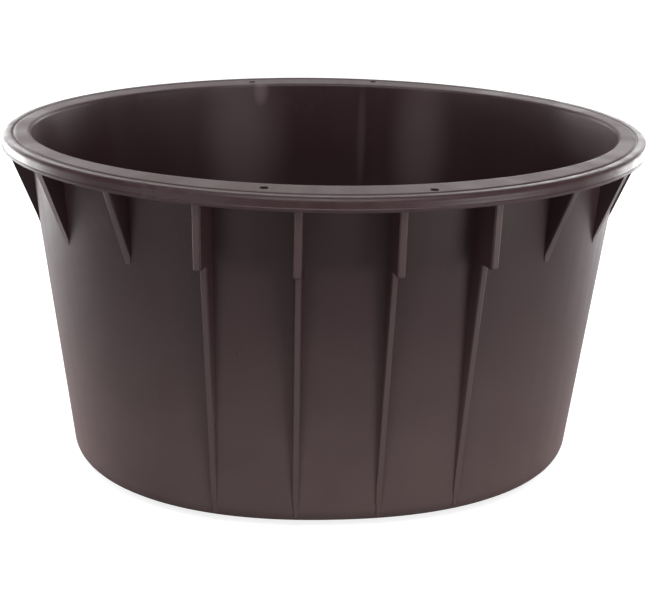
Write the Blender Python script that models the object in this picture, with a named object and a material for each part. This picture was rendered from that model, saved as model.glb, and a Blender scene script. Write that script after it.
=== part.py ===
# Oval stock tub: a stiff plastic moulding for feeding and watering animals.
# The moulding is divided at its natural borders into floor, wall, rim and ribs.
# Metres, +Z up. The origin is under the middle of the base and the long axis lies along X.

import math

import bmesh
import bpy
import numpy
from mathutils import Vector

# Rim, measured over its outer edge
RIM_LENGTH = 0.810
RIM_WIDTH = 0.625
HEIGHT = 0.4325
RIM_SQUARENESS = 1.95

# Base, measured over the wall where the corner radius begins
BASE_LENGTH = 0.674
BASE_WIDTH = 0.504
BASE_SQUARENESS = 2.2
CORNER_RADIUS = 0.024

# Wall and floor
WALL_THICKNESS = 0.0075
FLOOR_THICKNESS = 0.007

# Flange that turns outwards round the mouth. It is wider along the two long sides.
FLANGE_WIDTH_AT_ENDS = 0.036
FLANGE_WIDTH_AT_SIDES = 0.052
FLANGE_THICKNESS = 0.006
MOUTH_RADIUS = 0.0045

# Groove in the flange's top, and the rolled bead between it and the rim's edge
BEAD_WIDTH = 0.015
GROOVE_HALF_WIDTH = 0.003
GROOVE_DEPTH = 0.0018
SHOULDER_RADIUS = 0.007

# Skirt that hangs from the bead, with a lip that stands proud at its lower edge
SKIRT_DEPTH = 0.0155
SKIRT_THICKNESS = 0.0045
LIP_HEIGHT = 0.0035
LIP_PROUD = 0.0010
LIP_CHAMFER = 0.0008

# Round holes through the flange, in pairs on both long sides. The photographed pair isn't quite
# square to the tub: the hole towards +X lies nearer the rim's edge.
HOLE_DIAMETER = 0.0095
HOLE_SPACING = 0.180
HOLE_INSET = 0.0285
HOLE_SKEW = 0.0035

# Ribs under the flange, evenly spaced along the wall's outline
RIBS_PER_QUARTER = 5
STACKING_PER_QUARTER = 2
RIB_THICKNESS = 0.0105
RIB_EDGE_CHAMFER = 0.0016
RIB_TIP_WIDTH = 0.002
GUSSET_DROP = 0.115
LEDGE_DROP = 0.092
LEDGE_REACH = 0.0185
STACKING_RIB_FOOT = 0.004

# Clearances between neighbouring solids
SEAM_GAP = 0.0003
RIB_END_GAP = 0.0006

# Fineness of the faceted surfaces, and of what is measured along them
OVAL_STEPS = 96
CORNER_STEPS = 4
EDGE_STEPS = 3
HOLE_STEPS = 20
OUTLINE_STEPS = 720
HALVINGS = 40
SAME_PLACE = 1e-6
SHARP_ANGLE = 35
SHARP_RIB_ANGLE = 25

# Values worked out from the sizes above
MOUTH_HALF_LENGTH = RIM_LENGTH / 2 - FLANGE_WIDTH_AT_ENDS
MOUTH_HALF_WIDTH = RIM_WIDTH / 2 - FLANGE_WIDTH_AT_SIDES
UNDER_FLANGE = HEIGHT - FLANGE_THICKNESS
SEAM_HEIGHT = UNDER_FLANGE - SEAM_GAP
SKIRT_BOTTOM = HEIGHT - SKIRT_DEPTH
OVERHANG = max(FLANGE_WIDTH_AT_ENDS, FLANGE_WIDTH_AT_SIDES) + WALL_THICKNESS
HOLE_CUTTER_DEPTH = FLANGE_THICKNESS * 3

PLASTIC_COLOUR = (0.060, 0.029, 0.034)
PLASTIC_ROUGHNESS = 0.42


def plastic(name, shade):
    """The tub's dark brown-black plastic, a little lighter or darker from piece to piece."""
    material = bpy.data.materials.new(name)
    material.use_nodes = True
    shader = material.node_tree.nodes["Principled BSDF"]
    colour = [channel * shade for channel in PLASTIC_COLOUR] + [1.0]
    shader.inputs["Base Color"].default_value = colour
    shader.inputs["Roughness"].default_value = PLASTIC_ROUGHNESS
    shader.inputs["Metallic"].default_value = 0.0
    return material


def oval_point(half_length, half_width, squareness, angle):
    """A point of a superellipse, whose squareness is 2 for a true ellipse."""
    along = math.cos(angle)
    across = math.sin(angle)
    power = 2 / squareness
    x = math.copysign(half_length * abs(along) ** power, along)
    y = math.copysign(half_width * abs(across) ** power, across)
    return x, y


def wall_outline(z):
    """Half length, half width and squareness of the wall's outer face at a height."""
    share = (z - CORNER_RADIUS) / (HEIGHT - CORNER_RADIUS)
    share = max(share, 0.0)
    top_half_length = MOUTH_HALF_LENGTH + WALL_THICKNESS
    top_half_width = MOUTH_HALF_WIDTH + WALL_THICKNESS
    half_length = BASE_LENGTH / 2 + (top_half_length - BASE_LENGTH / 2) * share
    half_width = BASE_WIDTH / 2 + (top_half_width - BASE_WIDTH / 2) * share
    squareness = BASE_SQUARENESS + (RIM_SQUARENESS - BASE_SQUARENESS) * share
    return half_length, half_width, squareness


def oval_loop(half_length, half_width, squareness, z):
    """One closed loop of points round the tub."""
    loop = []
    for step in range(OVAL_STEPS):
        angle = 2 * math.pi * step / OVAL_STEPS
        x, y = oval_point(half_length, half_width, squareness, angle)
        loop.append(Vector((x, y, z)))
    return loop


def wall_loop(inset, z):
    """A loop at a distance inside the wall's outer face."""
    half_length, half_width, squareness = wall_outline(z)
    return oval_loop(half_length - inset, half_width - inset, squareness, z)


def mouth_loop(outwards, z):
    """A loop at a distance outside the mouth's inner face."""
    half_length = MOUTH_HALF_LENGTH + outwards
    half_width = MOUTH_HALF_WIDTH + outwards
    return oval_loop(half_length, half_width, RIM_SQUARENESS, z)


def rim_loop(inset, z):
    """A loop at a distance inside the rim's outer edge."""
    half_length = RIM_LENGTH / 2 - inset
    half_width = RIM_WIDTH / 2 - inset
    return oval_loop(half_length, half_width, RIM_SQUARENESS, z)


def arc(centre, radius, start, end, steps):
    """Points of an arc in a section, as (distance, height), angles in degrees."""
    points = []
    for step in range(steps + 1):
        angle = math.radians(start + (end - start) * step / steps)
        x = centre[0] + radius * math.cos(angle)
        z = centre[1] + radius * math.sin(angle)
        points.append((x, z))
    return points


def add_object(name, mesh_data, material):
    """Puts a mesh in the scene under the tub's empty."""
    piece = bpy.data.objects.new(name, mesh_data)
    bpy.context.scene.collection.objects.link(piece)
    piece.parent = tub
    if material is not None:
        mesh_data.materials.append(material)
    return piece


def finish_mesh(mesh, name, sharp_angle=SHARP_ANGLE):
    """Faces outwards, smooth shading with sharp creases, and the mesh as Blender data."""
    bmesh.ops.recalc_face_normals(mesh, faces=mesh.faces)
    mesh_data = bpy.data.meshes.new(name)
    mesh.to_mesh(mesh_data)
    mesh.free()
    mesh_data.shade_smooth()
    mesh_data.set_sharp_from_angle(angle=math.radians(sharp_angle))
    return mesh_data


def ring(name, loops, material):
    """A closed ring whose section's corners each follow one loop."""
    mesh = bmesh.new()
    rows = [[mesh.verts.new(point) for point in loop] for loop in loops]
    for row, next_row in zip(rows, rows[1:] + rows[:1]):
        for step in range(OVAL_STEPS):
            after = (step + 1) % OVAL_STEPS
            corners = (row[step], row[after], next_row[after], next_row[step])
            mesh.faces.new(corners)
    return add_object(name, finish_mesh(mesh, name), material)


def make_floor(material):
    """The flat floor panel inside the corner radius."""
    mesh = bmesh.new()
    inset = CORNER_RADIUS + SEAM_GAP
    corners = [mesh.verts.new(point) for point in wall_loop(inset, 0.0)]
    underside = mesh.faces.new(corners)
    made = bmesh.ops.extrude_face_region(mesh, geom=[underside])
    raised = [part for part in made["geom"] if isinstance(part, bmesh.types.BMVert)]
    bmesh.ops.translate(mesh, vec=(0, 0, FLOOR_THICKNESS), verts=raised)
    return add_object("floor_panel", finish_mesh(mesh, "floor_panel"), material)


def make_wall(material):
    """The tapering side wall, from its corner radius up to the seam under the flange."""
    bottom = CORNER_RADIUS + SEAM_GAP / 2
    section = [(0.0, SEAM_HEIGHT), (0.0, bottom)]
    section += [(WALL_THICKNESS, bottom), (WALL_THICKNESS, SEAM_HEIGHT)]
    loops = [wall_loop(inset, z) for inset, z in section]
    return ring("side_wall", loops, material)


def make_base_corner(material):
    """The rounded corner that joins the side wall to the floor."""
    top = CORNER_RADIUS - SEAM_GAP / 2
    outer_corner = arc((CORNER_RADIUS, CORNER_RADIUS), CORNER_RADIUS, 180, 270, CORNER_STEPS)
    inner_radius = CORNER_RADIUS - WALL_THICKNESS
    inner_centre = (CORNER_RADIUS, FLOOR_THICKNESS + inner_radius)
    inner_corner = arc(inner_centre, inner_radius, 270, 180, CORNER_STEPS)
    section = [(0.0, top)] + outer_corner[1:] + inner_corner
    section.append((WALL_THICKNESS, top))
    loops = [wall_loop(inset, z) for inset, z in section]
    return ring("base_corner", loops, material)


def make_flange(material):
    """The flat flange round the mouth, up to the middle of the groove, with its holes."""
    mouth_edge = arc((MOUTH_RADIUS, HEIGHT - MOUTH_RADIUS), MOUTH_RADIUS, 180, 90, EDGE_STEPS)
    border = BEAD_WIDTH + SEAM_GAP / 2
    loops = [mouth_loop(outwards, z) for outwards, z in [(0.0, UNDER_FLANGE)] + mouth_edge]
    loops.append(rim_loop(BEAD_WIDTH + GROOVE_HALF_WIDTH, HEIGHT))
    loops.append(rim_loop(border, HEIGHT - GROOVE_DEPTH))
    loops.append(rim_loop(border, UNDER_FLANGE))
    flange = ring("rim_flange", loops, material)
    cutter = make_hole_cutter()
    cut = flange.modifiers.new("holes", "BOOLEAN")
    cut.operation = "DIFFERENCE"
    cut.solver = "EXACT"
    cut.object = cutter
    return flange


def hole_places():
    """The middles of the four holes. The two long sides are alike."""
    places = []
    x = HOLE_SPACING / 2
    for side_x in (-1, 1):
        inset = HOLE_INSET - HOLE_SKEW * side_x
        share = (x / (RIM_LENGTH / 2 - inset)) ** RIM_SQUARENESS
        y = (RIM_WIDTH / 2 - inset) * (1 - share) ** (1 / RIM_SQUARENESS)
        places += [(side_x * x, -y), (side_x * x, y)]
    return places


def make_hole_cutter():
    """Four upright pegs, one for each hole in the flange, well past its two faces."""
    mesh = bmesh.new()
    for x, y in hole_places():
        peg = bmesh.ops.create_cone(
            mesh,
            cap_ends=True,
            segments=HOLE_STEPS,
            radius1=HOLE_DIAMETER / 2,
            radius2=HOLE_DIAMETER / 2,
            depth=HOLE_CUTTER_DEPTH,
        )
        place = Vector((x, y, HEIGHT - FLANGE_THICKNESS / 2))
        bmesh.ops.translate(mesh, vec=place, verts=peg["verts"])
    cutter = add_object("hole_cutter", finish_mesh(mesh, "hole_cutter"), None)
    cutter.hide_render = True
    cutter.display_type = "WIRE"
    return cutter


def make_bead(material):
    """The rolled outer bead with the skirt and lip that hang from it."""
    border = BEAD_WIDTH - SEAM_GAP / 2
    shoulder_centre = (LIP_PROUD + SHOULDER_RADIUS, HEIGHT - SHOULDER_RADIUS)
    section = [(border, UNDER_FLANGE), (border, HEIGHT - GROOVE_DEPTH)]
    section.append((BEAD_WIDTH - GROOVE_HALF_WIDTH, HEIGHT))
    section += arc(shoulder_centre, SHOULDER_RADIUS, 90, 180, CORNER_STEPS)
    lip_top = SKIRT_BOTTOM + LIP_HEIGHT
    section.append((LIP_PROUD, lip_top + LIP_PROUD))
    section.append((0.0, lip_top))
    section.append((0.0, SKIRT_BOTTOM + LIP_CHAMFER))
    section.append((LIP_CHAMFER, SKIRT_BOTTOM))
    section.append((SKIRT_THICKNESS, SKIRT_BOTTOM))
    section.append((SKIRT_THICKNESS, UNDER_FLANGE))
    loops = [rim_loop(inset, z) for inset, z in section]
    return ring("rim_bead", loops, material)


def rib_turns():
    """How far round each rib of a quarter stands from the short axis, evenly spaced on the wall."""
    half_length, half_width, squareness = wall_outline(HEIGHT)
    turns = numpy.linspace(0, math.pi / 2, OUTLINE_STEPS)
    places = []
    for turn in turns:
        place = oval_point(half_length, half_width, squareness, math.pi / 2 - turn)
        places.append(Vector(place))
    walked = [0.0]
    for place, after in zip(places, places[1:]):
        walked.append(walked[-1] + (after - place).length)
    wanted = (numpy.arange(RIBS_PER_QUARTER) + 0.5) * walked[-1] / RIBS_PER_QUARTER
    return numpy.interp(wanted, walked, turns)


def rib_frame(angle):
    """The point of the wall's top outline at an oval angle, and the direction square to it."""
    half_length, half_width, squareness = wall_outline(HEIGHT)
    x, y = oval_point(half_length, half_width, squareness, angle)
    slope_x = abs(x / half_length) ** (squareness - 1) / half_length
    slope_y = abs(y / half_width) ** (squareness - 1) / half_width
    normal = Vector((math.copysign(slope_x, x), math.copysign(slope_y, y), 0)).normalized()
    return Vector((x, y, 0)), normal


def distance_to_oval(start, direction, half_length, half_width, squareness):
    """How far from start, along direction, an oval is crossed. It is found by halving."""
    low, high = -min(half_length, half_width), OVERHANG
    for _ in range(HALVINGS):
        middle = (low + high) / 2
        point = start + direction * middle
        size = abs(point.x / half_length) ** squareness + abs(point.y / half_width) ** squareness
        if size < 1:
            low = middle
        else:
            high = middle
    return (low + high) / 2


def wall_distance(start, normal, z):
    """Distance from a rib's start to its back edge, just clear of the wall, at a height."""
    return distance_to_oval(start, normal, *wall_outline(z)) + SEAM_GAP


def skirt_distance(start, normal):
    """Distance from a rib's start to its outer edge, just clear of the skirt's inner face."""
    half_length = RIM_LENGTH / 2 - SKIRT_THICKNESS
    half_width = RIM_WIDTH / 2 - SKIRT_THICKNESS
    reach = distance_to_oval(start, normal, half_length, half_width, RIM_SQUARENESS)
    return reach - RIB_END_GAP


def gusset_outline(start, normal):
    """A triangular web: its outer edge slopes from the skirt's lower edge to the wall."""
    outer = skirt_distance(start, normal)
    tip_height = HEIGHT - GUSSET_DROP
    back_at_top = wall_distance(start, normal, SEAM_HEIGHT)
    back_at_tip = wall_distance(start, normal, tip_height)
    return [
        (back_at_top, SEAM_HEIGHT),
        (outer, SEAM_HEIGHT),
        (outer, SKIRT_BOTTOM),
        (back_at_tip + RIB_TIP_WIDTH, tip_height),
        (back_at_tip, tip_height),
    ]


def stacking_outline(start, normal):
    """A long web: deep and upright down to a ledge, then shallow and fading to the foot."""
    outer = skirt_distance(start, normal)
    ledge_height = HEIGHT - LEDGE_DROP
    foot_height = CORNER_RADIUS + STACKING_RIB_FOOT
    back_at_top = wall_distance(start, normal, SEAM_HEIGHT)
    back_at_ledge = wall_distance(start, normal, ledge_height)
    back_at_foot = wall_distance(start, normal, foot_height)
    return [
        (back_at_top, SEAM_HEIGHT),
        (outer, SEAM_HEIGHT),
        (outer, ledge_height),
        (back_at_ledge + LEDGE_REACH, ledge_height),
        (back_at_foot + RIB_TIP_WIDTH, foot_height),
        (back_at_foot, foot_height),
    ]


def make_rib(name, angle, outline_of, material):
    """An upright plate square to the wall, with its free edges chamfered."""
    start, normal = rib_frame(angle)
    outline = outline_of(start, normal)
    mesh = bmesh.new()
    corners = [mesh.verts.new((reach, -RIB_THICKNESS / 2, z)) for reach, z in outline]
    side = mesh.faces.new(corners)
    made = bmesh.ops.extrude_face_region(mesh, geom=[side])
    moved = [part for part in made["geom"] if isinstance(part, bmesh.types.BMVert)]
    bmesh.ops.translate(mesh, vec=(0, RIB_THICKNESS, 0), verts=moved)
    free = free_edges(mesh, outline)
    bmesh.ops.bevel(
        mesh,
        geom=free,
        offset=RIB_EDGE_CHAMFER,
        offset_type="OFFSET",
        affect="EDGES",
        segments=1,
        profile=0.5,
        clamp_overlap=True,
        material=-1,
    )
    rib = add_object(name, finish_mesh(mesh, name, SHARP_RIB_ANGLE), material)
    rib.location = start
    rib.rotation_euler = (0, 0, math.atan2(normal.y, normal.x))
    return rib


def free_edges(mesh, outline):
    """The long outer edges of a rib, which no other piece touches."""
    free_corners = outline[1:-1]
    chosen = []
    for edge in mesh.edges:
        ends = edge.verts
        across = abs(ends[0].co.y - ends[1].co.y) > RIB_THICKNESS / 2
        outside = all(is_corner(vert.co, free_corners) for vert in ends)
        if outside and not across:
            chosen.append(edge)
    return chosen


def is_corner(place, corners):
    """Whether a point is one of a section's corners."""
    for reach, z in corners:
        if abs(place.x - reach) < SAME_PLACE and abs(place.z - z) < SAME_PLACE:
            return True
    return False


def make_ribs(materials):
    """Stacking ribs at the middle of each long side, gussets from there round both ends."""
    counts = {}
    for side, middle in (("front", 270), ("back", 90)):
        for hand in (-1, 1):
            for place, turn in enumerate(rib_turns()):
                angle = math.radians(middle) + turn * hand
                if place < STACKING_PER_QUARTER:
                    kind, outline_of = "stacking_rib", stacking_outline
                else:
                    kind, outline_of = "gusset", gusset_outline
                stem = f"{kind}_{side}_{'left' if math.cos(angle) < 0 else 'right'}"
                counts[stem] = counts.get(stem, 0) + 1
                make_rib(f"{stem}_{counts[stem]}", angle, outline_of, materials[kind])


for old in list(bpy.data.objects):
    bpy.data.objects.remove(old)

tub = bpy.data.objects.new("tub", None)
bpy.context.scene.collection.objects.link(tub)

make_floor(plastic("floor_plastic", 0.95))
make_wall(plastic("wall_plastic", 1.0))
make_base_corner(plastic("corner_plastic", 0.9))
make_flange(plastic("flange_plastic", 1.2))
make_bead(plastic("bead_plastic", 1.1))
make_ribs({
    "stacking_rib": plastic("stacking_rib_plastic", 1.05),
    "gusset": plastic("gusset_plastic", 1.1),
})
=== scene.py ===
# Oval stock tub in dark moulded plastic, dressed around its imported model.
# Metres, +Z up, the long axis along X, standing on the ground at z = 0.

import math

import bmesh
import bpy
from mathutils import Matrix, Vector, noise


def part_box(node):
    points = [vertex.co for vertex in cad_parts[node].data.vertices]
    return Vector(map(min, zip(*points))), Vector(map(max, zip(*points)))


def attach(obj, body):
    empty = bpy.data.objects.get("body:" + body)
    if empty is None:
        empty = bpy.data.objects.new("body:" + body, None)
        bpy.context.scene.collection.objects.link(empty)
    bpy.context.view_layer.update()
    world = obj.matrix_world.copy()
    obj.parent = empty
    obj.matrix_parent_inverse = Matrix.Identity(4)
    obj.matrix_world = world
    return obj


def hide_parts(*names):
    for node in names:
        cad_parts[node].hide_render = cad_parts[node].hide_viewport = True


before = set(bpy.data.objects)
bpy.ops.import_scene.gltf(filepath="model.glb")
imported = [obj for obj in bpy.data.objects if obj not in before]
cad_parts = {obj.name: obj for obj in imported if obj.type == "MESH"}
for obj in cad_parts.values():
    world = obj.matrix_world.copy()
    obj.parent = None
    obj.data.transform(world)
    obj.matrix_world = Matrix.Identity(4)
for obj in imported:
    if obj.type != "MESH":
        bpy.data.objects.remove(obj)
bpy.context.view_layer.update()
print("frame loaded:", len(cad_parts), "nodes")

rimLow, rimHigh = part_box("rim_bead")
skirtBottom = rimLow[2]
rimTop = rimHigh[2]

# The moulding's main sizes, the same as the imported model's
tub = {
    "baseLength": 0.674,  # over the wall, where the bottom radius begins
    "baseWidth": 0.504,
    "baseSquareness": 2.2,
    "rimSquareness": 1.95,
    "cornerRadius": 0.024,
    "wall": 0.0075,
    "floor": 0.007,
    "flangeAtEnds": 0.036,  # from the mouth's inner face to the rim's outer edge
    "flangeAtSides": 0.052,
    "flange": 0.006,
    "beadWidth": 0.015,  # from the middle of the groove to the rim's outer edge
    "skirt": 0.0045,
    "stepsRound": 288,
    "sharpAngle": 38,  # an edge that turns by more is shaded as sharp
}

mouthHalfLength = rimHigh[0] - tub["flangeAtEnds"]
mouthHalfWidth = rimHigh[1] - tub["flangeAtSides"]
underFlange = rimTop - tub["flange"]


def wallShape(z, inset=0.0):
    # half length, half width and squareness of the wall's outer face at a height
    share = max((z - tub["cornerRadius"]) / (rimTop - tub["cornerRadius"]), 0.0)
    topHalfLength = mouthHalfLength + tub["wall"]
    topHalfWidth = mouthHalfWidth + tub["wall"]
    halfLength = tub["baseLength"] / 2 * (1 - share) + topHalfLength * share
    halfWidth = tub["baseWidth"] / 2 * (1 - share) + topHalfWidth * share
    squareness = tub["baseSquareness"] * (1 - share) + tub["rimSquareness"] * share
    return halfLength - inset, halfWidth - inset, squareness


def mouthShape(outwards):
    return mouthHalfLength + outwards, mouthHalfWidth + outwards, tub["rimSquareness"]


def rimShape(inset):
    return rimHigh[0] - inset, rimHigh[1] - inset, tub["rimSquareness"]


def between(shape, other, share):
    return tuple(near * (1 - share) + far * share for near, far in zip(shape, other))


def ovalPoint(shape, angle, z):
    halfLength, halfWidth, squareness = shape
    along = math.cos(angle)
    across = math.sin(angle)
    x = math.copysign(halfLength * abs(along) ** (2 / squareness), along)
    y = math.copysign(halfWidth * abs(across) ** (2 / squareness), across)
    return Vector((x, y, z))


def arcPoints(centre, radius, start, end, steps):
    # an arc in a section, as (distance, height) pairs, angles in degrees
    points = []
    for step in range(steps + 1):
        angle = math.radians(start + (end - start) * step / steps)
        x = centre[0] + radius * math.cos(angle)
        z = centre[1] + radius * math.sin(angle)
        points.append((x, z))
    return points


def finishPiece(mesh, name, sharpAngle=tub["sharpAngle"]):
    meshData = bpy.data.meshes.new(name)
    mesh.to_mesh(meshData)
    mesh.free()
    meshData.shade_smooth()
    meshData.set_sharp_from_angle(angle=math.radians(sharpAngle))
    piece = bpy.data.objects.new(name, meshData)
    bpy.context.scene.collection.objects.link(piece)
    return piece


def loftRings(mesh, rings, around):
    # the first ring is a circle, and each next one is extruded from the last and moved to its oval
    made = bmesh.ops.create_circle(mesh, segments=tub["stepsRound"], radius=1.0)
    verts = made["verts"]
    for vert in verts:
        vert[around] = math.atan2(vert.co.y, vert.co.x)
    edges = list({edge for vert in verts for edge in vert.link_edges})
    firstEdges = edges
    moveRing(verts, rings[0], around)
    for ring in rings[1:]:
        made = bmesh.ops.extrude_edge_only(mesh, edges=edges)
        verts = [part for part in made["geom"] if isinstance(part, bmesh.types.BMVert)]
        moveRing(verts, ring, around)
        newVerts = set(verts)
        edges = [edge for edge in made["geom"] if isinstance(edge, bmesh.types.BMEdge)]
        edges = [edge for edge in edges if all(vert in newVerts for vert in edge.verts)]
    return firstEdges, edges


def moveRing(verts, ring, around):
    shape, z = ring
    for vert in verts:
        vert.co = ovalPoint(shape, vert[around], z)


def capRing(mesh, edges, widths):
    # a flat face over a ring, inset a few times so that no face is a long sliver
    filled = bmesh.ops.holes_fill(mesh, edges=edges, sides=0)["faces"]
    for width in widths:
        bmesh.ops.inset_region(mesh, faces=filled, thickness=width, use_even_offset=True)


# The body: floor, wall and flange as one skin
body = {
    "wallRings": 34,
    "cornerSteps": 8,
    "mouthRadius": 0.0045,
    "mouthSteps": 6,
    "flangeRings": 6,
    "rootRadius": 0.004,  # under the flange, where it meets the wall
    "rootSteps": 4,
    "grooveHalfWidth": 0.003,
    "grooveDepth": 0.0012,
    "grooveSteps": 5,
    "floorInsets": (0.012, 0.04, 0.06, 0.06),
    "waviness": 0.00022,  # how far the walls wander from the true oval
    "wavesPerMetre": 9.0,
    "upright": 0.45,  # the waves' height as a share of the usual, so that they run up the wall
    "trueAtFoot": 0.08,  # the walls grow true over this height at the foot
    "trueAtFlange": 0.05,
}


def bodyRings():
    radius = tub["cornerRadius"]
    innerRadius = radius - tub["wall"]
    rings = []
    innerCentre = (radius, tub["floor"] + innerRadius)
    for inset, z in arcPoints(innerCentre, innerRadius, 270, 180, body["cornerSteps"]):
        rings.append((wallShape(z, inset), z))
    low = tub["floor"] + innerRadius
    high = rimTop - body["mouthRadius"]
    for step in range(1, body["wallRings"]):
        z = low + (high - low) * step / body["wallRings"]
        rings.append((wallShape(z, tub["wall"]), z))
    mouthCentre = (body["mouthRadius"], high)
    for outwards, z in arcPoints(mouthCentre, body["mouthRadius"], 180, 90, body["mouthSteps"]):
        rings.append((mouthShape(outwards), z))
    flat = mouthShape(body["mouthRadius"])
    lip = rimShape(tub["beadWidth"] + body["grooveHalfWidth"])
    for step in range(1, body["flangeRings"]):
        rings.append((between(flat, lip, step / body["flangeRings"]), rimTop))
    rings += grooveRings(1)
    groove = rimShape(tub["beadWidth"])
    rings.append((groove, underFlange))
    root = body["rootRadius"]
    rooted = mouthShape(tub["wall"] + root)
    rings.append((between(groove, rooted, 0.5), underFlange))
    rootCentre = (tub["wall"] + root, underFlange - root)
    for outwards, z in arcPoints(rootCentre, root, 90, 180, body["rootSteps"]):
        rings.append((mouthShape(outwards), z))
    high = underFlange - root
    for step in range(1, body["wallRings"]):
        z = high + (radius - high) * step / body["wallRings"]
        rings.append((wallShape(z), z))
    for inset, z in arcPoints((radius, radius), radius, 180, 270, body["cornerSteps"]):
        rings.append((wallShape(z, inset), z))
    return rings


def grooveRings(side):
    # the groove's wall on the flange's side (1) or the bead's (-1), from its brim to its bottom
    rings = []
    for step in range(body["grooveSteps"] + 1):
        share = step / body["grooveSteps"]
        inset = tub["beadWidth"] + side * body["grooveHalfWidth"] * (1 - share)
        depth = body["grooveDepth"] * (1 - math.cos(math.pi * share)) / 2
        rings.append((rimShape(inset), rimTop - depth))
    return rings


def makeBody():
    mesh = bmesh.new()
    around = mesh.verts.layers.float.new("around")
    firstEdges, lastEdges = loftRings(mesh, bodyRings(), around)
    capRing(mesh, firstEdges, body["floorInsets"])
    capRing(mesh, lastEdges, body["floorInsets"])
    bmesh.ops.recalc_face_normals(mesh, faces=mesh.faces)
    wanderWalls(mesh)
    return finishPiece(mesh, "moulded_body")


def wanderWalls(mesh):
    # a moulded wall is never quite true: it wanders by a fraction of a millimetre between rim and base
    mesh.normal_update()
    for vert in mesh.verts:
        fromFoot = vert.co.z / body["trueAtFoot"]
        fromFlange = (underFlange - vert.co.z) / body["trueAtFlange"]
        fade = min(fromFoot, fromFlange, 1.0)
        if fade <= 0:
            continue
        place = Vector((vert.co.x, vert.co.y, vert.co.z * body["upright"])) * body["wavesPerMetre"]
        outwards = Vector((vert.normal.x, vert.normal.y, 0.0))
        vert.co += outwards * noise.noise(place) * body["waviness"] * fade


print("building the body")
mouldedBody = makeBody()


# The bead: the rolled outer edge of the rim with its skirt and lip
bead = {
    "shoulderRadius": 0.007,
    "shoulderSteps": 10,
    "lipHeight": 0.0035,
    "lipProud": 0.0010,
    "lipRadius": 0.0008,
    "lipSteps": 3,
    # how the skirt runs out to the lip: inset and rise over the lip's top, in shares of lipProud
    "lipBlend": ((1.0, 1.4), (0.7, 0.6), (0.0, 0.0)),
    "rootRadius": 0.003,
    "rootSteps": 4,
}


def beadRings():
    shoulder = bead["shoulderRadius"]
    proud = bead["lipProud"]
    rings = [(rimShape(tub["beadWidth"]), underFlange)]
    rings += reversed(grooveRings(-1))
    section = arcPoints((proud + shoulder, rimTop - shoulder), shoulder, 90, 180, bead["shoulderSteps"])
    lipTop = skirtBottom + bead["lipHeight"]
    for inset, rise in bead["lipBlend"]:
        section.append((proud * inset, lipTop + proud * rise))
    lip = bead["lipRadius"]
    section += arcPoints((lip, skirtBottom + lip), lip, 180, 270, bead["lipSteps"])
    section.append((tub["skirt"] - lip, skirtBottom))
    section.append((tub["skirt"], skirtBottom + lip))
    root = bead["rootRadius"]
    section += arcPoints((tub["skirt"] + root, underFlange - root), root, 180, 90, bead["rootSteps"])
    return rings + [(rimShape(inset), z) for inset, z in section]


def makeBead():
    mesh = bmesh.new()
    around = mesh.verts.layers.float.new("around")
    firstEdges, lastEdges = loftRings(mesh, beadRings(), around)
    bmesh.ops.bridge_loops(mesh, edges=firstEdges + lastEdges)
    bmesh.ops.recalc_face_normals(mesh, faces=mesh.faces)
    return finishPiece(mesh, "rolled_bead")


print("building the bead")
rolledBead = makeBead()


# The flange's four round holes
holes = {
    "diameter": 0.0095,
    "spacing": 0.180,
    "inset": 0.0285,  # from the rim's outer edge
    "skew": 0.0035,  # the holes towards +X lie this much nearer the edge, the others further in
    "edgeRadius": 0.0007,
    "edgeSteps": 4,
    "steps": 40,
    "cutterReach": 0.01,  # how far the cutter stands out above and below the flange
    "mergeDistance": 0.00001,
}


def holePlaces():
    places = []
    x = holes["spacing"] / 2
    for sideX in (-1, 1):
        halfLength, halfWidth, squareness = rimShape(holes["inset"] - holes["skew"] * sideX)
        y = halfWidth * (1 - (x / halfLength) ** squareness) ** (1 / squareness)
        places += [(sideX * x, -y), (sideX * x, y)]
    return places


def makeHoleCutter():
    # a spool for each hole: its flared ends round the hole's two edges
    mesh = bmesh.new()
    radius = holes["diameter"] / 2
    edge = holes["edgeRadius"]
    top = rimTop + holes["cutterReach"]
    bottom = underFlange - holes["cutterReach"]
    profile = [(0.0, top), (radius + edge, top)]
    profile += arcPoints((radius + edge, rimTop - edge), edge, 90, 180, holes["edgeSteps"])
    profile += arcPoints((radius + edge, underFlange + edge), edge, 180, 270, holes["edgeSteps"])
    profile += [(radius + edge, bottom), (0.0, bottom)]
    for x, y in holePlaces():
        verts = [mesh.verts.new((x + reach, y, z)) for reach, z in profile]
        edges = [mesh.edges.new(pair) for pair in zip(verts, verts[1:])]
        bmesh.ops.spin(
            mesh,
            geom=verts + edges,
            cent=(x, y, 0),
            axis=(0, 0, 1),
            angle=2 * math.pi,
            steps=holes["steps"],
            use_merge=True,
        )
    bmesh.ops.remove_doubles(mesh, verts=mesh.verts, dist=holes["mergeDistance"])
    bmesh.ops.recalc_face_normals(mesh, faces=mesh.faces)
    return finishPiece(mesh, "hole_cutter")


def cutHoles(piece):
    cutter = makeHoleCutter()
    cut = piece.modifiers.new("holes", "BOOLEAN")
    cut.operation = "DIFFERENCE"
    cut.solver = "EXACT"
    cut.object = cutter
    bpy.context.view_layer.update()
    evaluated = piece.evaluated_get(bpy.context.evaluated_depsgraph_get())
    whole = bpy.data.meshes.new_from_object(evaluated)
    piece.modifiers.clear()
    old = piece.data
    piece.data = whole
    bpy.data.meshes.remove(old)
    whole.name = piece.name
    bpy.data.objects.remove(cutter)


print("cutting the holes")
cutHoles(mouldedBody)


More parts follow.
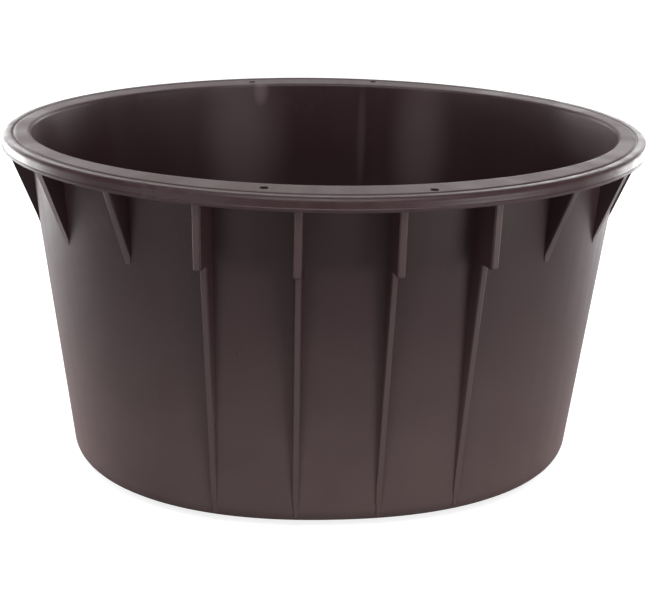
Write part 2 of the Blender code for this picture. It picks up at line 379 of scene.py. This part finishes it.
# The ribs under the flange: long stepped ones at the middle of each side, short gussets elsewhere
ribs = {
    "perQuarter": 5,
    "stackingPerQuarter": 2,
    "thickness": 0.0105,
    "thinning": 0.0045,  # how much thinner a rib is at the tub's foot than at the flange
    "edgeRadius": 0.0026,
    "edgeSteps": 5,
    "cornerRadius": 0.004,
    "cornerSteps": 5,
    "gussetDrop": 0.102,  # from the rim's top to where a gusset's tip begins to fade
    "ledgeDrop": 0.092,
    "ledgeReach": 0.0185,  # how far a stacking rib stands out from the wall just below its ledge
    "foot": 0.040,  # the height where a stacking rib's tip begins to fade
    "tipWidth": 0.002,  # how far a rib stands out from the wall where its tip begins to fade
    "gussetRunOut": 0.010,  # the length over which a rib's tip fades into the wall
    "stackingRunOut": 0.026,
    "sunk": 0.0032,  # how deep a rib's root goes into the wall, so that no seam shows
    "endGap": 0.0006,  # between a rib's outer end and the skirt
    "rootSteps": 12,
    "outlineSteps": 720,  # how finely the wall's outline is walked to space the ribs
    "halvings": 36,  # in the search for an oval's distance
    "sharpAngle": 40,
}


def ribAngles():
    # angles from the short axis of a quarter's ribs, evenly spaced along the wall's top outline
    steps = ribs["outlineSteps"]
    shape = wallShape(rimTop)
    turns = [math.pi / 2 * step / steps for step in range(steps + 1)]
    places = [ovalPoint(shape, math.pi / 2 - turn, 0.0) for turn in turns]
    walked = [0.0]
    for place, after in zip(places, places[1:]):
        walked.append(walked[-1] + (after - place).length)
    pitch = walked[-1] / ribs["perQuarter"]
    angles = []
    for count in range(ribs["perQuarter"]):
        wanted = (count + 0.5) * pitch
        step = next(step for step, length in enumerate(walked) if length >= wanted)
        angles.append(turns[step])
    return angles


def ribFrame(angle):
    halfLength, halfWidth, squareness = wallShape(rimTop)
    place = ovalPoint((halfLength, halfWidth, squareness), angle, 0.0)
    slopeX = abs(place.x / halfLength) ** (squareness - 1) / halfLength
    slopeY = abs(place.y / halfWidth) ** (squareness - 1) / halfWidth
    normal = Vector((math.copysign(slopeX, place.x), math.copysign(slopeY, place.y), 0)).normalized()
    return place, normal


def distanceToOval(start, direction, shape):
    # how far the oval lies from the start, found by halving the range again and again
    halfLength, halfWidth, squareness = shape
    low = -halfWidth
    high = tub["flangeAtSides"] + tub["wall"]
    for halving in range(ribs["halvings"]):
        middle = (low + high) / 2
        point = start + direction * middle
        size = abs(point.x / halfLength) ** squareness + abs(point.y / halfWidth) ** squareness
        if size < 1:
            low = middle
        else:
            high = middle
    return (low + high) / 2


def roundedPath(corners, radius, steps):
    # a path through the corners, each rounded by the radius
    path = [Vector(corners[0])]
    for before, corner, after in zip(corners, corners[1:], corners[2:]):
        corner = Vector(corner)
        inwards = (Vector(before) - corner).normalized()
        outwards = (Vector(after) - corner).normalized()
        half = inwards.angle(outwards) / 2
        back = radius / math.tan(half)
        for step in range(steps + 1):
            share = step / steps
            near = corner + inwards * back * (1 - share)
            far = corner + outwards * back * share
            path.append(near * (1 - share) + far * share)
    path.append(Vector(corners[-1]))
    return path


def gussetEdge(outer, atWall):
    # the free edge's corners from the flange down, as (reach, z)
    low = rimTop - ribs["gussetDrop"]
    tip = low - ribs["gussetRunOut"]
    corners = [(outer, underFlange), (outer, skirtBottom)]
    return corners + [(atWall(low) + ribs["tipWidth"], low), (atWall(tip), tip)]


def stackingEdge(outer, atWall):
    ledge = rimTop - ribs["ledgeDrop"]
    reach = atWall(ledge) + ribs["ledgeReach"]
    foot = ribs["foot"]
    tip = foot - ribs["stackingRunOut"]
    corners = [(outer, underFlange), (outer, ledge), (reach, ledge)]
    return corners + [(atWall(foot) + ribs["tipWidth"], foot), (atWall(tip), tip)]


def outlinePlace(vert):
    # where a rib's vertex lies in its outline, to a thousandth of a millimetre
    return round(vert.co.x, 6), round(vert.co.z, 6)


def makeRib(name, angle, edgeOf):
    start, normal = ribFrame(angle)
    skirtReach = distanceToOval(start, normal, rimShape(tub["skirt"])) - ribs["endGap"]

    def atWall(z):
        return distanceToOval(start, normal, wallShape(z))

    corners = edgeOf(skirtReach, atWall)
    tip = corners[-1][1]
    freeEdge = roundedPath(corners, ribs["cornerRadius"], ribs["cornerSteps"])
    back = []
    top = underFlange + ribs["sunk"]
    for step in range(ribs["rootSteps"] + 1):
        z = tip + (top - tip) * step / ribs["rootSteps"]
        back.append(Vector((atWall(z) - ribs["sunk"], z)))
    freeEdge[0].y = top
    outline = freeEdge + back
    mesh = bmesh.new()
    half = ribs["thickness"] / 2
    verts = [mesh.verts.new((point.x, -half, point.y)) for point in outline]
    side = mesh.faces.new(verts)
    made = bmesh.ops.extrude_face_region(mesh, geom=[side])
    fresh = [part for part in made["geom"] if isinstance(part, bmesh.types.BMVert)]
    for vert in fresh:
        vert.co.y = half
    for vert in mesh.verts:
        vert.co.y *= 1 - ribs["thinning"] / ribs["thickness"] * (rimTop - vert.co.z) / rimTop
    freePlaces = {outlinePlace(vert) for vert in verts[:len(freeEdge)]}
    longEdges = []
    for edge in mesh.edges:
        ends = edge.verts
        sameSide = ends[0].co.y * ends[1].co.y > 0
        if sameSide and all(outlinePlace(end) in freePlaces for end in ends):
            longEdges.append(edge)
    bmesh.ops.bevel(
        mesh,
        geom=longEdges,
        offset=ribs["edgeRadius"],
        offset_type="OFFSET",
        affect="EDGES",
        segments=ribs["edgeSteps"],
        profile=0.5,
        clamp_overlap=True,
        material=-1,
    )
    turn = Matrix.Rotation(math.atan2(normal.y, normal.x), 4, "Z")
    bmesh.ops.transform(mesh, matrix=Matrix.Translation(start) @ turn, verts=mesh.verts)
    bmesh.ops.recalc_face_normals(mesh, faces=mesh.faces)
    rib = finishPiece(mesh, name, ribs["sharpAngle"])
    even = rib.modifiers.new("even shading", "WEIGHTED_NORMAL")
    even.keep_sharp = True
    return rib


def makeRibs():
    pieces = {}
    counts = {}
    for side, middle in (("front", 270), ("back", 90)):
        for hand in (-1, 1):
            for place, turn in enumerate(ribAngles()):
                angle = math.radians(middle) + turn * hand
                stacking = place < ribs["stackingPerQuarter"]
                kind = "stacking_rib" if stacking else "gusset"
                edgeOf = stackingEdge if stacking else gussetEdge
                stem = f"{kind}_{side}_{'left' if math.cos(angle) < 0 else 'right'}"
                counts[stem] = counts.get(stem, 0) + 1
                node = f"{stem}_{counts[stem]}"
                pieces[node] = makeRib(f"moulded_{node}", angle, edgeOf)
    return pieces


print("building the ribs")
ribPieces = makeRibs()


# The small moulding pip on the front wall
pip = {
    "x": -0.1177,
    "z": 0.2296,
    "diameter": 0.0036,
    "height": 0.0011,
    "stepsRound": 20,
    "stepsUp": 12,
    "sharpAngle": 60,
}


def makePip():
    halfLength, halfWidth, squareness = wallShape(pip["z"])
    share = abs(pip["x"] / halfLength) ** squareness
    place = Vector((pip["x"], -halfWidth * (1 - share) ** (1 / squareness), pip["z"]))
    mesh = bmesh.new()
    bmesh.ops.create_uvsphere(mesh, u_segments=pip["stepsRound"], v_segments=pip["stepsUp"], radius=1.0)
    radius = pip["diameter"] / 2
    bmesh.ops.scale(mesh, vec=(radius, pip["height"], radius), verts=mesh.verts)
    bmesh.ops.translate(mesh, vec=place, verts=mesh.verts)
    return finishPiece(mesh, "moulding_pip", pip["sharpAngle"])


mouldingPip = makePip()


# Parts of node trees that the materials share
def addNode(tree, kind, **settings):
    node = tree.nodes.new(kind)
    for name, value in settings.items():
        setattr(node, name, value)
    return node


def fill(tree, socket, value):
    # a socket takes another node's output, or else a number, vector or colour
    if isinstance(value, bpy.types.NodeSocket):
        tree.links.new(value, socket)
    else:
        socket.default_value = value


def addMath(tree, operation, first, second):
    node = addNode(tree, "ShaderNodeMath", operation=operation)
    fill(tree, node.inputs[0], first)
    fill(tree, node.inputs[1], second)
    return node.outputs[0]


def addVectorMath(tree, operation, first, second=None):
    node = addNode(tree, "ShaderNodeVectorMath", operation=operation)
    fill(tree, node.inputs[0], first)
    if second is not None:
        fill(tree, node.inputs[1], second)
    return node.outputs["Value" if operation in ("DOT_PRODUCT", "LENGTH") else "Vector"]


def addRange(tree, value, begins, ends, low=0.0, high=1.0, kind="SMOOTHSTEP"):
    # the value's way from begins to ends, spread from low to high
    node = addNode(tree, "ShaderNodeMapRange", interpolation_type=kind)
    sockets = ("Value", "From Min", "From Max", "To Min", "To Max")
    for socket, given in zip(sockets, (value, begins, ends, low, high)):
        fill(tree, node.inputs[socket], given)
    return node.outputs["Result"]


def addNoise(tree, place, scale, detail, roughness=0.5):
    node = addNode(tree, "ShaderNodeTexNoise")
    sockets = ("Vector", "Scale", "Detail", "Roughness")
    for socket, given in zip(sockets, (place, scale, detail, roughness)):
        fill(tree, node.inputs[socket], given)
    return node.outputs["Fac"]


def objectPlace(tree):
    return addNode(tree, "ShaderNodeTexCoord").outputs["Object"]


def surfaceNormal(tree):
    return addNode(tree, "ShaderNodeNewGeometry").outputs["Normal"]


def upwardPart(tree, vector):
    split = addNode(tree, "ShaderNodeSeparateXYZ")
    tree.links.new(vector, split.inputs[0])
    return split.outputs["Z"]


def levelled(tree, vector):
    return addVectorMath(tree, "MULTIPLY", vector, (1, 1, 0))


def seenByCamera(tree):
    return addNode(tree, "ShaderNodeLightPath").outputs["Is Camera Ray"]


# Effects that the plastics share, each as a node group with one output
def newGroup(name, inputs, output, kind="NodeSocketFloat"):
    group = bpy.data.node_groups.new(name, "ShaderNodeTree")
    for socket in inputs:
        group.interface.new_socket(name=socket, in_out="INPUT", socket_type="NodeSocketFloat")
    group.interface.new_socket(name=output, in_out="OUTPUT", socket_type=kind)
    given = addNode(group, "NodeGroupInput").outputs
    result = addNode(group, "NodeGroupOutput").inputs[output]
    return group, given, result


streakPattern = {
    "detail": 3.0,
    "roughness": 0.55,
    "edges": (0.35, 0.68),  # the noise's values where a streak begins and where it is full
}


def makeFlowStreaks():
    # faint upright streaks, as the plastic flows up the mould. The direction round the tub is read
    # as a point on a circle, so that the pattern has no seam.
    group, given, result = newGroup("flow streaks", ("Count", "Breaks"), "Streaks")
    place = objectPlace(group)
    circle = addVectorMath(group, "NORMALIZE", levelled(group, place))
    wide = addVectorMath(group, "MULTIPLY", circle, given["Count"])
    height = addNode(group, "ShaderNodeCombineXYZ")
    rise = addMath(group, "MULTIPLY", upwardPart(group, place), given["Breaks"])
    group.links.new(rise, height.inputs["Z"])
    both = addVectorMath(group, "ADD", wide, height.outputs["Vector"])
    pattern = addNoise(group, both, 1.0, streakPattern["detail"], streakPattern["roughness"])
    group.links.new(addRange(group, pattern, *streakPattern["edges"]), result)
    return group


skinPattern = {
    "detail": 2.0,
}


def makeMouldSkin():
    # the moulding's skin: a fine orange peel over a slow unevenness
    inputs = ("Peel Scale", "Peel Depth", "Wave Scale", "Wave Depth")
    group, given, result = newGroup("mould skin", inputs, "Normal", "NodeSocketVector")
    place = objectPlace(group)
    normal = None
    for kind in ("Wave", "Peel"):
        bump = addNode(group, "ShaderNodeBump")
        group.links.new(given[f"{kind} Depth"], bump.inputs["Distance"])
        pattern = addNoise(group, place, given[f"{kind} Scale"], skinPattern["detail"])
        group.links.new(pattern, bump.inputs["Height"])
        if normal is not None:
            group.links.new(normal, bump.inputs["Normal"])
        normal = bump.outputs["Normal"]
    group.links.new(normal, result)
    return group


scuffPattern = {
    # the noise's detail, and its values where a patch or mark begins and where it is full
    "Patch Scale": (3.0, 0.50, 0.68),
    "Mark Scale": (4.0, 0.52, 0.62),
}


def makeScuffs():
    # rubbed patches, made of many short fine marks
    group, given, result = newGroup("scuffs", tuple(scuffPattern), "Mask")
    place = objectPlace(group)
    masks = []
    for socket, (detail, begins, full) in scuffPattern.items():
        pattern = addNoise(group, place, given[socket], detail)
        masks.append(addRange(group, pattern, begins, full))
    group.links.new(addMath(group, "MULTIPLY", *masks), result)
    return group


dustAndGlowFilm = {
    "detail": 5.0,
    "facing": (0.5, 1.0),  # how squarely a surface looks up where the dust begins and where it is full
    "onTop": 0.5,  # the most that lies on what faces up, as a share of the splashed dust and painted floor light at the ground
    "patches": (0.3, 0.7),  # the film's share where the noise is 0 and where it is 1
}


def makeDustAndFloorGlow():
    # a film of dust on what faces up, and a paler wash on the wall, less and less up to the splash
    # height: partly splashed dust, partly painted light bounced up from the pale floor
    group, given, result = newGroup("dustAndFloorGlow", ("Dust And Glow Height", "Patch Scale"), "Mask")
    place = objectPlace(group)
    upwards = upwardPart(group, surfaceNormal(group))
    top = addRange(group, upwards, *dustAndGlowFilm["facing"], 0.0, dustAndGlowFilm["onTop"])
    # painted floor light: the wall grows paler towards the ground, with some splashed dust
    splashAndGlow = addRange(group, upwardPart(group, place), given["Dust And Glow Height"], 0.0)
    pattern = addNoise(group, place, given["Patch Scale"], dustAndGlowFilm["detail"])
    patches = addRange(group, pattern, 0.0, 1.0, *dustAndGlowFilm["patches"], kind="LINEAR")
    either = addMath(group, "MAXIMUM", top, splashAndGlow)
    group.links.new(addMath(group, "MULTIPLY", either, patches), result)
    return group


flowStreaks = makeFlowStreaks()
mouldSkin = makeMouldSkin()
scuffs = makeScuffs()
dustAndFloorGlow = makeDustAndFloorGlow()


# The plastics. The rim is the same plastic, more rubbed and less dusty. It is also a little lighter,
# which is painted light: a lighter copy of the plastic for the light the rim catches.
plastics = {
    "tub": {
        "colour": (0.060, 0.029, 0.034, 1.0),
        "streakColour": (0.082, 0.042, 0.047, 1.0),
        "scuffColour": (0.150, 0.105, 0.105, 1.0),
        "dustAndGlowColour": (0.30, 0.21, 0.20, 1.0),
        "streaks": 0.25,
        "scuffs": 0.10,
        # dust, and painted floor light that makes the lower wall paler
        "dustAndFloorGlow": 0.70,
        "dustAndGlowHeight": 0.34,
        "smooth": 0.36,
        "rough": 0.48,
        "count": 9.0,
        "breaks": 1.6,
        "peelDepth": 0.00002,
        "waveDepth": 0.0012,
    },
    "rim": {
        # a little lighter than the tub's colour: painted light on the rim
        "colour": (0.068, 0.033, 0.038, 1.0),
        "streakColour": (0.090, 0.048, 0.053, 1.0),
        "scuffColour": (0.190, 0.140, 0.140, 1.0),
        "dustAndGlowColour": (0.30, 0.21, 0.20, 1.0),
        "streaks": 0.40,
        "scuffs": 0.25,
        "dustAndFloorGlow": 0.06,
        "dustAndGlowHeight": 0.05,
        "smooth": 0.40,
        "rough": 0.50,
        "count": 14.0,
        "breaks": 3.0,
        "peelDepth": 0.000015,
        "waveDepth": 0.0006,
    },
}

# How fine each pattern is, in cells per metre
grain = {
    "scuffPatches": 7.0,
    "scuffMarks": 95.0,
    "dustAndGlowPatches": 16.0,
    "peel": 620.0,
    "waves": 11.0,
}

# Pale marks inside the back wall: two broad ones, which are painted light falling on the wall from above
# the front, a narrow one, and a small pale one at the top, which is a dried water mark
backWallLightAndMarks = {
    "colour": (0.30, 0.22, 0.23, 1.0),
    "edges": (1.0, 0.2),  # the shares of the half size where a mark begins and where it is full
    "facingIn": -0.05,  # a surface faces in where its level place, taken along its normal, is under this
    "marks": (
        # middle, half size along X, Y and Z, strength
        ((-0.100, 0.240, 0.350), (0.085, 0.040, 0.150), 0.42),
        ((0.072, 0.245, 0.355), (0.009, 0.040, 0.110), 0.22),
        ((0.152, 0.225, 0.350), (0.060, 0.040, 0.150), 0.40),
        ((-0.078, 0.250, 0.420), (0.018, 0.020, 0.034), 0.65),
    ),
}

# The ribs' outer edges are painted paler: a painted highlight where the edges catch the light
paintedEdgeHighlight = {
    "colour": (0.150, 0.098, 0.100, 1.0),
    "share": 0.6,
    "facing": (0.80, 0.97),  # how squarely a surface looks outwards where the painted highlight begins and is full
}


def placeGroup(tree, group, values):
    node = addNode(tree, "ShaderNodeGroup", node_tree=group)
    for socket, value in values.items():
        node.inputs[socket].default_value = value
    return node.outputs[0]


def mixColour(tree, share, under, over):
    mix = addNode(tree, "ShaderNodeMix", data_type="RGBA")
    tree.links.new(share, mix.inputs["Factor"])
    fill(tree, mix.inputs["A"], under)
    mix.inputs["B"].default_value = over
    return mix.outputs["Result"]


def insideMask(tree, place):
    # 1 where the surface faces the tub's middle
    outwards = addVectorMath(tree, "DOT_PRODUCT", levelled(tree, place), surfaceNormal(tree))
    return addMath(tree, "LESS_THAN", outwards, backWallLightAndMarks["facingIn"])


# pale marks inside the back wall: the two broad ones are painted light, the small one at the top a dried
# water mark
def backWallLightAndMarkMask(tree):
    place = objectPlace(tree)
    share = None
    for middle, size, strength in backWallLightAndMarks["marks"]:
        centred = addVectorMath(tree, "SUBTRACT", place, middle)
        away = addVectorMath(tree, "LENGTH", addVectorMath(tree, "DIVIDE", centred, size))
        mark = addRange(tree, away, *backWallLightAndMarks["edges"], 0.0, strength)
        share = mark if share is None else addMath(tree, "MAXIMUM", share, mark)
    return addMath(tree, "MULTIPLY", share, insideMask(tree, place))


# a painted highlight down the ribs' outer faces, where they face outwards
def paintedEdgeHighlightMask(tree):
    outwards = addVectorMath(tree, "NORMALIZE", levelled(tree, objectPlace(tree)))
    facing = addVectorMath(tree, "DOT_PRODUCT", outwards, surfaceNormal(tree))
    return addRange(tree, facing, *paintedEdgeHighlight["facing"], 0.0, paintedEdgeHighlight["share"])


def makePlastic(name, look, makeMask=None, maskColour=None):
    material = bpy.data.materials.new(name)
    material.use_nodes = True
    tree = material.node_tree
    shader = tree.nodes["Principled BSDF"]
    streaks = placeGroup(tree, flowStreaks, {"Count": look["count"], "Breaks": look["breaks"]})
    scales = {"Patch Scale": grain["scuffPatches"], "Mark Scale": grain["scuffMarks"]}
    rubbed = placeGroup(tree, scuffs, scales)
    splashAndGlow = {"Dust And Glow Height": look["dustAndGlowHeight"], "Patch Scale": grain["dustAndGlowPatches"]}
    dustAndGlowMask = placeGroup(tree, dustAndFloorGlow, splashAndGlow)
    streakShare = addMath(tree, "MULTIPLY", streaks, look["streaks"])
    rubbedShare = addMath(tree, "MULTIPLY", rubbed, look["scuffs"])
    dustAndGlowMaskShare = addMath(tree, "MULTIPLY", dustAndGlowMask, look["dustAndFloorGlow"])
    colour = mixColour(tree, streakShare, look["colour"], look["streakColour"])
    colour = mixColour(tree, rubbedShare, colour, look["scuffColour"])
    # a paler film: dust, and painted floor light low on the wall
    colour = mixColour(tree, dustAndGlowMaskShare, colour, look["dustAndGlowColour"])
    if makeMask:
        colour = mixColour(tree, makeMask(tree), colour, maskColour)
    tree.links.new(colour, shader.inputs["Base Color"])
    gloss = addRange(tree, streaks, 0.0, 1.0, look["smooth"], look["rough"], kind="LINEAR")
    duller = addMath(tree, "ADD", rubbedShare, dustAndGlowMaskShare)
    tree.links.new(addMath(tree, "ADD", gloss, duller), shader.inputs["Roughness"])
    relief = {
        "Peel Scale": grain["peel"],
        "Peel Depth": look["peelDepth"],
        "Wave Scale": grain["waves"],
        "Wave Depth": look["waveDepth"],
    }
    tree.links.new(placeGroup(tree, mouldSkin, relief), shader.inputs["Normal"])
    return material


print("mixing the plastics")
# the tub plastic carries painted light: two broad pale marks inside the back wall
tubPlastic = makePlastic("tub plastic", plastics["tub"], backWallLightAndMarkMask, backWallLightAndMarks["colour"])
# the rib plastic carries a painted highlight on the ribs' outer edges
ribPlastic = makePlastic("rib plastic", plastics["tub"], paintedEdgeHighlightMask, paintedEdgeHighlight["colour"])
rimPlastic = makePlastic("rim plastic", plastics["rim"])


def dress(piece, material, slot, *nodes):
    piece.data.materials.append(material)
    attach(piece, "root")
    if nodes:
        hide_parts(*nodes)


bodyNodes = ("floor_panel", "base_corner", "side_wall", "rim_flange")
dress(mouldedBody, tubPlastic, "tub_plastic", *bodyNodes)
dress(rolledBead, rimPlastic, "rim_plastic", "rim_bead")
dress(mouldingPip, tubPlastic, "tub_plastic")
for node, piece in ribPieces.items():
    dress(piece, ribPlastic, "tub_plastic", node)


# The studio: a pale ground that is white far off, and a white backdrop
studio = {
    "groundSize": 12.0,
    "groundColour": (0.50, 0.50, 0.50, 1.0),
    "groundRoughness": 0.9,
    "groundGlow": (0.80, 1.0),  # near the tub and far off, seen by the camera only
    "glowReach": (0.6, 2.2),  # the distances between which that glow grows
    "ambient": 0.02,
    "backdropGlow": 1.0,  # seen by the camera only
}

# The soft lamps: each one's place, the point it faces, its width and height, and its watts
lamps = {
    "front overhead": ((0.0, -1.0, 2.2), (0.0, -0.2, 0.2), (1.6, 0.8), 20),
    "backdrop": ((0.0, 2.0, 1.8), (0.0, 0.0, 0.4), (2.4, 0.8), 20),
    "back left": ((-1.1, 1.7, 0.7), (0.0, 0.0, 0.35), (0.9, 1.0), 23),
    "back right": ((1.1, 1.7, 0.7), (0.0, 0.0, 0.35), (0.9, 1.0), 16),
    "low left": ((-1.5, 0.7, 0.35), (0.0, 0.0, 0.3), (0.8, 0.6), 26),
    "low right": ((1.5, 0.7, 0.35), (0.0, 0.0, 0.3), (0.8, 0.6), 24),
    "front left": ((-1.5, -1.5, 0.5), (0.0, 0.0, 0.3), (0.9, 0.7), 5),
    "front right": ((1.5, -1.5, 0.5), (0.0, 0.0, 0.3), (0.9, 0.7), 12),
}


def makeGround():
    mesh = bmesh.new()
    bmesh.ops.create_grid(mesh, x_segments=1, y_segments=1, size=studio["groundSize"] / 2)
    ground = finishPiece(mesh, "ground")
    material = bpy.data.materials.new("white ground")
    material.use_nodes = True
    tree = material.node_tree
    shader = tree.nodes["Principled BSDF"]
    shader.inputs["Base Color"].default_value = studio["groundColour"]
    shader.inputs["Roughness"].default_value = studio["groundRoughness"]
    shader.inputs["Specular IOR Level"].default_value = 0.0
    shader.inputs["Emission Color"].default_value = (1, 1, 1, 1)
    away = addVectorMath(tree, "LENGTH", objectPlace(tree))
    farther = addRange(tree, away, *studio["glowReach"], *studio["groundGlow"], kind="LINEAR")
    glow = addMath(tree, "MULTIPLY", seenByCamera(tree), farther)
    tree.links.new(glow, shader.inputs["Emission Strength"])
    ground.data.materials.append(material)


def makeWorld():
    world = bpy.data.worlds.new("studio")
    world.use_nodes = True
    bpy.context.scene.world = world
    tree = world.node_tree
    background = tree.nodes["Background"]
    background.inputs["Color"].default_value = (1, 1, 1, 1)
    glows = (studio["ambient"], studio["backdropGlow"])
    strength = addRange(tree, seenByCamera(tree), 0.0, 1.0, *glows, kind="LINEAR")
    tree.links.new(strength, background.inputs["Strength"])


def makeLamps():
    for name, (place, aim, size, watts) in lamps.items():
        light = bpy.data.lights.new(name, "AREA")
        light.shape = "RECTANGLE"
        light.size, light.size_y = size
        light.energy = watts
        holder = bpy.data.objects.new(name, light)
        bpy.context.scene.collection.objects.link(holder)
        holder.location = place
        holder.visible_camera = False
        towards = Vector(aim) - Vector(place)
        holder.rotation_euler = towards.to_track_quat("-Z", "Y").to_euler()


makeGround()
makeWorld()
makeLamps()
print("studio ready")


# The camera, at the photograph's viewing angle
view = {
    "place": (-0.12983, -1.46522, 0.78906),
    "pitch": -22.00697,
    "yaw": -5.07625,
    "roll": 1.47086,
    "lens": 65.58989,
    "sensor": 36,
}


def makeCamera():
    camera = bpy.data.cameras.new("camera")
    camera.lens = view["lens"]
    camera.sensor_width = view["sensor"]
    holder = bpy.data.objects.new("camera", camera)
    bpy.context.scene.collection.objects.link(holder)
    yaw = Matrix.Rotation(math.radians(view["yaw"]), 4, "Z")
    pitch = Matrix.Rotation(math.radians(90 + view["pitch"]), 4, "X")
    roll = Matrix.Rotation(math.radians(view["roll"]), 4, "Z")
    holder.matrix_world = Matrix.Translation(view["place"]) @ yaw @ pitch @ roll
    bpy.context.scene.camera = holder


makeCamera()
bpy.context.scene.view_settings.view_transform = "Standard"
